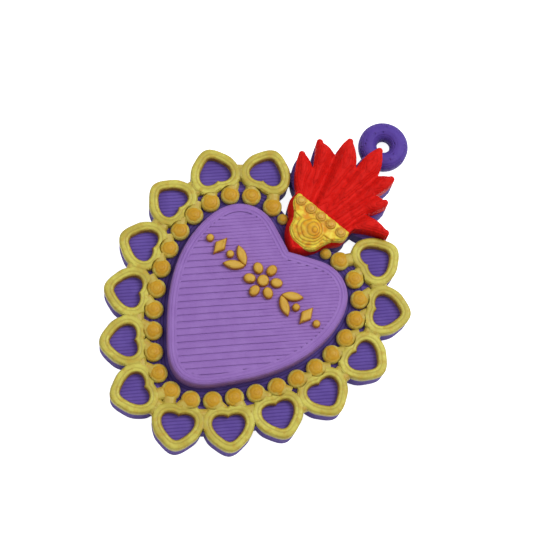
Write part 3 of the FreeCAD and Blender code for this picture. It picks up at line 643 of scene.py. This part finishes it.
# %% A turned bead
def turned(name, profile, sides=30):
    """A closed turned shape from (radius, height) pairs in mm, from its foot to its crown."""
    angles = [2 * math.pi * k / sides for k in range(sides)]
    places = [(0, 0, profile[0][1] * MM)]
    for radius, z in profile[:-1]:
        places += [(radius * math.cos(a) * MM, radius * math.sin(a) * MM, z * MM) for a in angles]
    places.append((0, 0, profile[-1][1] * MM))
    last = 1 + (len(profile) - 2) * sides
    faces = []
    for k in range(sides):
        after = (k + 1) % sides
        faces.append((0, 1 + after, 1 + k))
        for a in range(1, last, sides):
            faces.append((a + k, a + after, a + sides + after, a + sides + k))
        faces.append((last + k, last + after, len(places) - 1))
    mesh = bpy.data.meshes.new(name)
    mesh.from_pydata(places, [], faces)
    radii = [0] + [r for r, _ in profile[:-1] for _ in range(sides)] + [0]
    inset = [max(radii) - r for r in radii]
    mesh.attributes.new("inset", "FLOAT", "POINT").data.foreach_set("value", inset)
    mesh.shade_smooth()
    return bpy.data.objects.new(name, mesh)


def string_beads(name, profile, centres, base, material, replaced, spread=0.03):
    """A turned bead on each centre, base mm up. Spread is how much smaller the smallest is."""
    master = turned(name + "_master", profile)
    bpy.context.scene.collection.objects.link(master)
    source = bpy.data.meshes.new(name)
    source.from_pydata([(x * MM, y * MM, base * MM) for x, y in centres], [], [])
    settings = {"Bead": master, "Least size": 1 - spread, "Greatest size": 1.0}
    made = grow(name, source, bead_tree, {**settings, "Material": material})
    bpy.data.objects.remove(master)
    return finish_piece(made, "amber_plastic", replaced)


# %% The beads in their places
side = [(1.24, 0), (1.26, 0.3), (1.25, 0.5), (1.2, 0.66), (1.1, 0.78), (1.0, 0.84), (0.9, 0.9)]
crown = [(0.74, 1.0), (0.58, 1.07), (0.4, 1.13), (0.2, 1.17), (0, 1.18)]
middles = [loop.mean(0) for loop in edges_of["border_beads"]]
string_beads("bead_row", side + crown, middles, PLATE_TOP, amber, "border_beads")
small = [(0.72, 0), (0.75, 0.25), (0.72, 0.42), (0.62, 0.58)]
small += [(0.5, 0.7), (0.35, 0.82), (0.18, 0.88), (0, 0.9)]
pair = [loop.mean(0) for loop in edges_of["collar_beads"]]
string_beads("collar_bead_pair", small, pair, PLATE_TOP, amber, "collar_beads")
print("beads:", len(middles), "and", len(pair))

# %% [markdown]
# ## Bridges between beads and frames
# The gold and the amber were laid in one go, so plastic strings from each bead to the frame
# beside it, and from frame to frame. Short wide roads make these bridges, wherever a bead is
# near enough to a frame and wherever two frames nearly touch.

# %% Bridges
rims = {name: even(edges_of[name][0], 0.1) for name in frames}
# For a bead's nearest rim and the next: how far its middle may be, and how full the bridge is
widest_gaps, widths = (1.97, 1.67), (1.0, 0.7)
bridges = []


def bridge(stops, fullness):
    """Adds one bridge on the plate's top, with a fullness at each stop."""
    bridges.append([(*stop, PLATE_TOP, full) for stop, full in zip(stops, fullness)])


for middle in middles:
    near = sorted((np.linalg.norm(rim - middle, axis=1).min(), name) for name, rim in rims.items())
    for (gap, name), widest, width in zip(near, widest_gaps, widths):
        if gap > widest:
            continue
        rim = rims[name]
        foot = rim[np.linalg.norm(rim - middle, axis=1).argmin()]
        away = (foot - middle) / np.linalg.norm(foot - middle)
        stops = [middle + away * reach for reach in (0.6, 1.0, gap, gap + 0.3, gap + 0.6)]
        bridge(stops, [full * width for full in (1.1, 1.0, 0.96, 0.96, 0.9)])
for name, after in zip(frames, frames[1:]):
    here = rims[name][distance(rims[name], rims[after]).argmin()]
    there = rims[after][np.linalg.norm(rims[after] - here, axis=1).argmin()]
    along = rims[after].mean(0) - rims[name].mean(0)
    along /= np.linalg.norm(along)
    across, middle = np.array((-along[1], along[0])), (here + there) / 2
    for aside in (-0.3, 0.3):
        reaches = (-0.75, -0.4, 0.0, 0.4, 0.75)
        stops = [middle + across * aside + along * reach for reach in reaches]
        bridge(stops, (0.7, 0.68, 0.66, 0.68, 0.7))
web_section = {"width": 1.7, "height": 0.93, "flatness": 0.55}
lay_roads("bead_bridges", bridges, **web_section, material=gold_webs, slot="gold_plastic")
print("bridges:", len(bridges))

# %% [markdown]
# ## The flame
# Seven tongues rise from the vessel. Each has a soft ridge, and between two of them the print
# falls into a valley. The distance from a tongue's own edge gives both.

# %% Tongues
SHOULDER, EDGE_RISE, RIDGE_RISE = 4.9, 0.2, 0.3  # a tongue's top at its edge, and what it gains
HIDDEN_BELOW = 16.7  # the tongues start under the vessel, and that end has no edge of its own
valleys = ((0, 1, 0.3), (1, 2, 0.85), (2, 3, 0.35), (3, 4, 0.45), (4, 5, 0.35), (5, 6, 0.6))
tongues = [even(outlines(f"flame_tongue_{k}", 4.0)[0], 0.12) for k in range(1, 8)]
for k, outer in enumerate(tongues):
    points, faces, inset = plan([outer], [0.06, 0.14, 0.26], 0.2)
    sides = outer[outer[:, 1] > HIDDEN_BELOW]
    near = [distance(sides, loop) for n, loop in enumerate(tongues) if n != k]
    free = sides[np.min(near, axis=0) > 0.1]
    from_side = nearest(points, sides)
    up_ridge = np.clip(from_side / np.percentile(from_side, 95), 0, 1)
    fold = 0.5 - 0.5 * np.cos(up_ridge * math.pi)
    rise = np.sin(np.clip(nearest(points, free) / 0.35, 0, 1) * math.pi / 2)
    x, y = points.T
    lumps = 0.05 * np.sin(1.9 * x + 1.2 * y) * np.sin(1.3 * y - 1.1 * x + 1)
    lumps += 0.03 * np.sin(4.3 * x) * np.sin(3.9 * y + 2)
    height = SHOULDER + EDGE_RISE * rise + RIDGE_RISE * fold + rise * lumps
    for left, right, depth in valleys:
        to_both = distance(points, tongues[left]) + distance(points, tongues[right]) - inset
        height -= depth * np.exp(-((np.maximum(to_both, 0) / 0.9) ** 2))
    node_name = f"flame_tongue_{k + 1}"
    top = (points, faces, height, PLATE_TOP, from_side, red, "red_plastic")
    relief(node_name + "_top", *top, node_name)

# %% [markdown]
# ## The vessel
# The cup is a low dome, highest to the right of its middle, so its layers show as rings that
# crowd together there. Each ring is a circle between the cup's own edge and that top. The brim
# is a flat flare, and its five knobs grow out of it. The flame's foot under them slopes down
# to its edge.

# %% Cup and brim
CUP_FOOT, DOME_RISE, VESSEL_BASE = 5.15, 1.1, 4.1
cup = even(outlines("vessel_cup", 5.03)[0], 0.12)
brim = even(outlines("vessel_brim", 5.3)[0], 0.12)
seam = brim[:, 1].min()
free = np.vstack([loop[np.abs(loop[:, 1] - seam) > 0.1] for loop in (cup, brim)])
spots = np.array([loop.mean(0) for loop in outlines("vessel_knobs", 5.9)])
middle, summit, reach = np.array((0.0, 13.7)), np.array((0.95, 13.8)), 2.5
for name, loop in (("vessel_cup", cup), ("vessel_brim", brim)):
    points, faces, _ = plan([loop], [0.05, 0.12, 0.22, 0.35], 0.1)
    from_free = nearest(points, free)
    # Rings move from the summit to the middle as they widen. A quadratic tells which ring a
    # point is on: share is 1 at the summit and 0 on the outermost ring.
    aside, lean = points - middle, summit - middle
    a = lean @ lean - reach**2
    b, c = 2 * (reach**2 - aside @ lean), (aside**2).sum(1) - reach**2
    share = (-b + np.sqrt(np.maximum(b * b - 4 * a * c, 0))) / (2 * a)
    dome = CUP_FOOT + DOME_RISE * np.clip(share, 0, 1) ** 0.85
    lumps = sum(np.exp(-(((points - spot) / 0.6) ** 2).sum(1)) for spot in spots)
    slope = np.clip((points[:, 1] - seam) / 1.3 + 1, 0, 1) ** 1.5
    height = np.maximum(dome, CUP_FOOT + 0.45 * slope + 0.25 * lumps)
    height += 0.03 * np.sin(3.1 * points[:, 0] + 1) * np.sin(2.7 * points[:, 1])
    height -= sag(from_free, 0.35)
    top = (points, faces, height, VESSEL_BASE, from_free, amber_top, "amber_plastic")
    relief(name + "_top", *top, name)

# %% The flame's foot
FOOT_TOP, SLOPE_DROP, SLOPE_WIDTH = 5.0, 1.1, 0.5
foot = even(outlines("flame_base", 4.0)[0], 0.12)
points, faces, inset = plan([foot], [0.06, 0.14, 0.24, 0.36, 0.5], 0.25)
low = (points[:, 1] < 16.3) & (inset < SLOPE_WIDTH)
slope = SLOPE_DROP * (1 - np.clip(inset / SLOPE_WIDTH, 0, 1)) ** 1.6
height = FOOT_TOP - np.where(low, slope, 0)
top = (points, faces, height, PLATE_TOP, inset, red, "red_plastic")
relief("flame_foot", *top, "flame_base")

# %% Knobs on the brim
KNOB_FOOT = 5.74
knob = [(0.74, -0.1), (0.72, -0.03), (0.62, 0.05), (0.5, 0.16)]
knob += [(0.4, 0.25), (0.3, 0.31), (0.16, 0.35), (0, 0.36)]
string_beads("brim_knobs", knob, spots, KNOB_FOOT, knob_gold, "vessel_knobs", spread=0.2)
print("knobs:", len(spots))

# %% [markdown]
# ## The ornament
# The row of petals, leaves, diamonds and dots is thin gold on the heart. Its roads sag over
# their edges, so each piece is a low cushion with a browner rim.

# %% Ornament pieces
ORNAMENT_TOP = 5.9
for name in ("flower_eye", "flower_petals", "band_leaves", "band_diamonds", "band_dots"):
    for k, loop in enumerate(outlines(name, 5.5)):
        points, faces, inset = plan([loop], [0.04, 0.1, 0.18, 0.28], 0.12)
        height = ORNAMENT_TOP - sag(inset, 0.3)
        top = (points, faces, height, HEART_TOP, inset, ornament, "amber_plastic")
        relief(f"{name}_{k + 1}_cushion", *top, name)

# %% [markdown]
# ## The channel round the heart
# Between the heart and the beads the plate's top is laid in roads that follow the heart. They
# are coarser than the rest of the plate. The shade there beside the heart is painted into them as
# a darker violet, on a thin skin just proud of the plate.

# %% Painted shade over the channel
CHANNEL = 2.3  # its width in mm
outer, inner = parallel(heart_edge, -CHANNEL), parallel(heart_edge, 0.05)
points, faces, _ = plan([outer, inner], [], 0.35)
height = np.full(len(points), PLATE_TOP + 0.02)
from_heart = distance(points, heart_edge)
# A thin skin of the darker violet over the plate round the heart: painted shade.
skin = (points, faces, height, PLATE_TOP - 0.01, from_heart, channel_painted_shade, "violet_plastic")
relief("channel_floor", *skin)

# %% [markdown]
# ## The pieces kept as they are
# The plate and the ring already have their shape, and only take a finish.

# %% Finishes on the kept nodes
kept = {"back_plate": violet, "hanging_ring": violet_ring}
for name, material in kept.items():
    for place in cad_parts[name].material_slots:
        place.material = material
print("kept nodes:", list(kept))

# %% [markdown]
# ## Floor, light and camera
# The charm lies on white paper, under a soft lamp on one side and a weaker one opposite. The
# camera, also by way of a reflection or through something clear, sees the paper and the world
# behind it as white. The light that they give the charm is weaker, so its colours stay as they
# are written. The camera's place and lens were fitted to the beads of the photograph.


# %% White where it is seen
def seen(tree):
    """1 for a ray from the camera or from a glossy or clear surface, and 0 for the others,
    which only carry light."""
    ray = add(tree, "ShaderNodeLightPath").node.outputs
    either = {0: ray["Is Camera Ray"], 1: ray["Is Glossy Ray"]}
    either = add(tree, "ShaderNodeMath", either, operation="MAXIMUM")
    either = {0: either, 1: ray["Is Transmission Ray"]}
    return add(tree, "ShaderNodeMath", either, operation="MAXIMUM")


world = bpy.data.worlds.new("studio")
world.use_nodes = True
bpy.context.scene.world = world
tree = world.node_tree
strength = add(tree, "ShaderNodeMapRange", {0: seen(tree), 3: 0.36, 4: 1.0})
tree.links.new(strength, tree.nodes["Background"].inputs["Strength"])
tree.nodes["Background"].inputs["Color"].default_value = (1, 1, 1, 1)
print("world:", len(tree.nodes), "nodes")

# %% Floor
HALF, SUNK = 2, -2e-5  # half the floor's side, and its height just under the charm, in metres
corners = [(-HALF, -HALF, SUNK), (HALF, -HALF, SUNK), (HALF, HALF, SUNK), (-HALF, HALF, SUNK)]
floor_mesh = bpy.data.meshes.new("floor")
floor_mesh.from_pydata(corners, [], [(0, 1, 2, 3)])
floor = bpy.data.objects.new("floor", floor_mesh)
bpy.context.scene.collection.objects.link(floor)
paper = bpy.data.materials.new("white_paper")
paper.use_nodes = True
tree = paper.node_tree
tree.nodes.remove(tree.nodes["Principled BSDF"])
node = partial(add, tree)
place = node("ShaderNodeTexCoord", output="Object")
fibre = node("ShaderNodeTexNoise", {"Vector": place, "Scale": 900.0})
tone = node("ShaderNodeMapRange", {0: fibre, 3: 0.8, 4: 0.84})
matte = node("ShaderNodeBsdfDiffuse", {"Color": tone})
lift = node("ShaderNodeMath", {0: seen(tree), 1: 0.9}, operation="MULTIPLY")
glow = node("ShaderNodeEmission", {"Strength": lift})
both = node("ShaderNodeAddShader", {0: matte, 1: glow})
tree.links.new(both, tree.nodes["Material Output"].inputs["Surface"])
floor_mesh.materials.append(paper)
print("floor:", paper.name, 2 * HALF, "m wide")


# %% Lamps
def lamp(name, place, size, power):
    """A square soft light at a place in metres, aimed at the charm."""
    light = bpy.data.lights.new(name, "AREA")
    light.size, light.energy = size, power
    made = bpy.data.objects.new(name, light)
    made.location = place
    made.rotation_euler = (-Vector(place)).to_track_quat("-Z", "Y").to_euler()
    bpy.context.scene.collection.objects.link(made)


lamp("key", (0.12, 0.25, 0.42), size=0.25, power=1.5)
lamp("fill", (-0.2, -0.1, 0.45), size=0.4, power=0.5)
print("lamps:", [light.name for light in bpy.data.lights])

# %% Camera
lens = bpy.data.cameras.new("camera")
lens.sensor_width, lens.lens, lens.clip_start = 36, 120.25, 0.01
camera = bpy.data.objects.new("camera", lens)
camera.location = (0.026485, -0.057447, 0.231066)
camera.rotation_euler = (0.28058, -0.08889, 0.68332)
bpy.context.scene.collection.objects.link(camera)
bpy.context.scene.camera = camera
bpy.context.scene.view_settings.view_transform = "Standard"
print("camera:", round(camera.location.length / MM), "mm from the origin")
